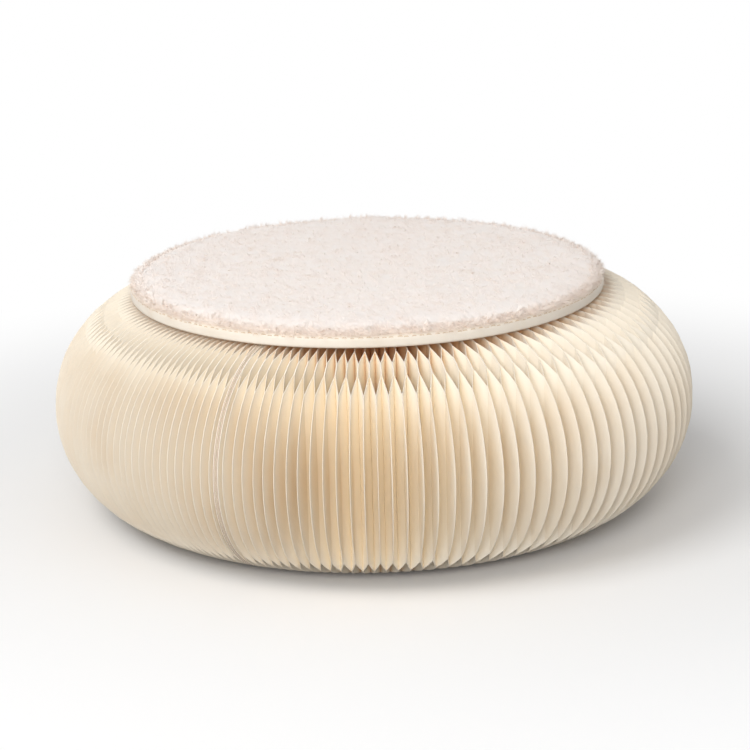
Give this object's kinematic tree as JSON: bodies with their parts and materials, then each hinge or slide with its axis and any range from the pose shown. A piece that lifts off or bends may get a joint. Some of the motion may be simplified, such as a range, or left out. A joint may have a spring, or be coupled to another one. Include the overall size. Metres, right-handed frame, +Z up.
{
  "type": "folding paper stool",
  "caption": "Low round stool of fanned honeycomb paper leaves that folds flat like a book, with a loose plush-topped pad.",
  "frame": {"origin": "on the floor, under the middle of the round ring", "axes": "+Z up along the ring's axis, -Y towards the front of the picture, +X to its right"},
  "size_m": [0.5599, 0.56, 0.2108],
  "materials": {
    "paper": "matte",
    "cover_board": "matte",
    "magnet": "satin",
    "leatherette": "satin",
    "stiffener": "matte",
    "foam": "matte",
    "plush": "matte"
  },
  "bodies": {
    "fixed_end": {"fixed_cover": "cover_board", "fixed_cover_magnets": "magnet"},
    "sector_01": {"paper_sector_01": "paper"},
    "sector_02": {"paper_sector_02": "paper"},
    "sector_03": {"paper_sector_03": "paper"},
    "sector_04": {"paper_sector_04": "paper"},
    "sector_05": {"paper_sector_05": "paper"},
    "sector_06": {"paper_sector_06": "paper"},
    "sector_07": {"paper_sector_07": "paper"},
    "sector_08": {"paper_sector_08": "paper"},
    "sector_09": {"paper_sector_09": "paper"},
    "sector_10": {"paper_sector_10": "paper"},
    "sector_11": {"paper_sector_11": "paper"},
    "sector_12": {"paper_sector_12": "paper"},
    "sector_13": {"paper_sector_13": "paper"},
    "sector_14": {"paper_sector_14": "paper"},
    "sector_15": {"paper_sector_15": "paper"},
    "sector_16": {"paper_sector_16": "paper"},
    "sector_17": {"paper_sector_17": "paper"},
    "sector_18": {"paper_sector_18": "paper"},
    "sector_19": {"paper_sector_19": "paper"},
    "sector_20": {"paper_sector_20": "paper"},
    "sector_21": {"paper_sector_21": "paper"},
    "sector_22": {"paper_sector_22": "paper"},
    "sector_23": {"paper_sector_23": "paper"},
    "sector_24": {"paper_sector_24": "paper"},
    "moving_end": {"moving_cover": "cover_board", "moving_cover_magnets": "magnet"},
    "pad": {"pad_skin": "leatherette", "pad_board": "stiffener", "pad_foam": "foam", "plush_top": "plush"}
  },
  "joints": [
    {"name": "fold", "type": "hinge", "parent": "fixed_end", "child": "moving_end", "pos_m": [0, 0, 0.096], "axis": [0, 0, 1], "range_deg": [-337.4, 0]},
    {"name": "fold_sector_01", "type": "hinge", "parent": "fixed_end", "child": "sector_01", "pos_m": [0, 0, 0.096], "axis": [0, 0, 1], "range_deg": [-2.01, 0], "deforming": ["paper_sector_01"]},
    {"name": "fold_sector_02", "type": "hinge", "parent": "fixed_end", "child": "sector_02", "pos_m": [0, 0, 0.096], "axis": [0, 0, 1], "range_deg": [-11.07, 0], "deforming": ["paper_sector_02"]},
    {"name": "fold_sector_03", "type": "hinge", "parent": "fixed_end", "child": "sector_03", "pos_m": [0, 0, 0.096], "axis": [0, 0, 1], "range_deg": [-21.24, 0], "deforming": ["paper_sector_03"]},
    {"name": "fold_sector_04", "type": "hinge", "parent": "fixed_end", "child": "sector_04", "pos_m": [0, 0, 0.096], "axis": [0, 0, 1], "range_deg": [-32.81, 0], "deforming": ["paper_sector_04"]},
    {"name": "fold_sector_05", "type": "hinge", "parent": "fixed_end", "child": "sector_05", "pos_m": [0, 0, 0.096], "axis": [0, 0, 1], "range_deg": [-45.96, 0], "deforming": ["paper_sector_05"]},
    {"name": "fold_sector_06", "type": "hinge", "parent": "fixed_end", "child": "sector_06", "pos_m": [0, 0, 0.096], "axis": [0, 0, 1], "range_deg": [-60.76, 0], "deforming": ["paper_sector_06"]},
    {"name": "fold_sector_07", "type": "hinge", "parent": "fixed_end", "child": "sector_07", "pos_m": [0, 0, 0.096], "axis": [0, 0, 1], "range_deg": [-77.18, 0], "deforming": ["paper_sector_07"]},
    {"name": "fold_sector_08", "type": "hinge", "parent": "fixed_end", "child": "sector_08", "pos_m": [0, 0, 0.096], "axis": [0, 0, 1], "range_deg": [-95.07, 0], "deforming": ["paper_sector_08"]},
    {"name": "fold_sector_09", "type": "hinge", "parent": "fixed_end", "child": "sector_09", "pos_m": [0, 0, 0.096], "axis": [0, 0, 1], "range_deg": [-114.17, 0], "deforming": ["paper_sector_09"]},
    {"name": "fold_sector_10", "type": "hinge", "parent": "fixed_end", "child": "sector_10", "pos_m": [0, 0, 0.096], "axis": [0, 0, 1], "range_deg": [-134.17, 0], "deforming": ["paper_sector_10"]},
    {"name": "fold_sector_11", "type": "hinge", "parent": "fixed_end", "child": "sector_11", "pos_m": [0, 0, 0.096], "axis": [0, 0, 1], "range_deg": [-154.66, 0], "deforming": ["paper_sector_11"]},
    {"name": "fold_sector_12", "type": "hinge", "parent": "fixed_end", "child": "sector_12", "pos_m": [0, 0, 0.096], "axis": [0, 0, 1], "range_deg": [-175.23, 0], "deforming": ["paper_sector_12"]},
    {"name": "fold_sector_13", "type": "hinge", "parent": "fixed_end", "child": "sector_13", "pos_m": [0, 0, 0.096], "axis": [0, 0, 1], "range_deg": [-195.44, 0], "deforming": ["paper_sector_13"]},
    {"name": "fold_sector_14", "type": "hinge", "parent": "fixed_end", "child": "sector_14", "pos_m": [0, 0, 0.096], "axis": [0, 0, 1], "range_deg": [-214.88, 0], "deforming": ["paper_sector_14"]},
    {"name": "fold_sector_15", "type": "hinge", "parent": "fixed_end", "child": "sector_15", "pos_m": [0, 0, 0.096], "axis": [0, 0, 1], "range_deg": [-233.2, 0], "deforming": ["paper_sector_15"]},
    {"name": "fold_sector_16", "type": "hinge", "parent": "fixed_end", "child": "sector_16", "pos_m": [0, 0, 0.096], "axis": [0, 0, 1], "range_deg": [-250.13, 0], "deforming": ["paper_sector_16"]},
    {"name": "fold_sector_17", "type": "hinge", "parent": "fixed_end", "child": "sector_17", "pos_m": [0, 0, 0.096], "axis": [0, 0, 1], "range_deg": [-265.48, 0], "deforming": ["paper_sector_17"]},
    {"name": "fold_sector_18", "type": "hinge", "parent": "fixed_end", "child": "sector_18", "pos_m": [0, 0, 0.096], "axis": [0, 0, 1], "range_deg": [-279.18, 0], "deforming": ["paper_sector_18"]},
    {"name": "fold_sector_19", "type": "hinge", "parent": "fixed_end", "child": "sector_19", "pos_m": [0, 0, 0.096], "axis": [0, 0, 1], "range_deg": [-291.26, 0], "deforming": ["paper_sector_19"]},
    {"name": "fold_sector_20", "type": "hinge", "parent": "fixed_end", "child": "sector_20", "pos_m": [0, 0, 0.096], "axis": [0, 0, 1], "range_deg": [-301.88, 0], "deforming": ["paper_sector_20"]},
    {"name": "fold_sector_21", "type": "hinge", "parent": "fixed_end", "child": "sector_21", "pos_m": [0, 0, 0.096], "axis": [0, 0, 1], "range_deg": [-311.27, 0], "deforming": ["paper_sector_21"]},
    {"name": "fold_sector_22", "type": "hinge", "parent": "fixed_end", "child": "sector_22", "pos_m": [0, 0, 0.096], "axis": [0, 0, 1], "range_deg": [-319.77, 0], "deforming": ["paper_sector_22"]},
    {"name": "fold_sector_23", "type": "hinge", "parent": "fixed_end", "child": "sector_23", "pos_m": [0, 0, 0.096], "axis": [0, 0, 1], "range_deg": [-327.78, 0], "deforming": ["paper_sector_23"]},
    {"name": "fold_sector_24", "type": "hinge", "parent": "fixed_end", "child": "sector_24", "pos_m": [0, 0, 0.096], "axis": [0, 0, 1], "range_deg": [-335.72, 0], "deforming": ["paper_sector_24"]},
    {"name": "pad_lift", "type": "slide", "parent": "fixed_end", "child": "pad", "axis": [0, 0, 1], "range_m": [0, 0.2]}
  ],
  "couplings": [
    {"joint": "fold_sector_01", "follows": "fold", "ratio": 0.005895},
    {"joint": "fold_sector_02", "follows": "fold", "ratio": 0.032739},
    {"joint": "fold_sector_03", "follows": "fold", "ratio": 0.062896},
    {"joint": "fold_sector_04", "follows": "fold", "ratio": 0.09719},
    {"joint": "fold_sector_05", "follows": "fold", "ratio": 0.13616},
    {"joint": "fold_sector_06", "follows": "fold", "ratio": 0.18004},
    {"joint": "fold_sector_07", "follows": "fold", "ratio": 0.2287},
    {"joint": "fold_sector_08", "follows": "fold", "ratio": 0.28171},
    {"joint": "fold_sector_09", "follows": "fold", "ratio": 0.33834},
    {"joint": "fold_sector_10", "follows": "fold", "ratio": 0.3976},
    {"joint": "fold_sector_11", "follows": "fold", "ratio": 0.45834},
    {"joint": "fold_sector_12", "follows": "fold", "ratio": 0.51929},
    {"joint": "fold_sector_13", "follows": "fold", "ratio": 0.57918},
    {"joint": "fold_sector_14", "follows": "fold", "ratio": 0.63681},
    {"joint": "fold_sector_15", "follows": "fold", "ratio": 0.69112},
    {"joint": "fold_sector_16", "follows": "fold", "ratio": 0.7413},
    {"joint": "fold_sector_17", "follows": "fold", "ratio": 0.78679},
    {"joint": "fold_sector_18", "follows": "fold", "ratio": 0.82739},
    {"joint": "fold_sector_19", "follows": "fold", "ratio": 0.8632},
    {"joint": "fold_sector_20", "follows": "fold", "ratio": 0.89465},
    {"joint": "fold_sector_21", "follows": "fold", "ratio": 0.9225},
    {"joint": "fold_sector_22", "follows": "fold", "ratio": 0.9477},
    {"joint": "fold_sector_23", "follows": "fold", "ratio": 0.97143},
    {"joint": "fold_sector_24", "follows": "fold", "ratio": 0.99495}
  ]
}
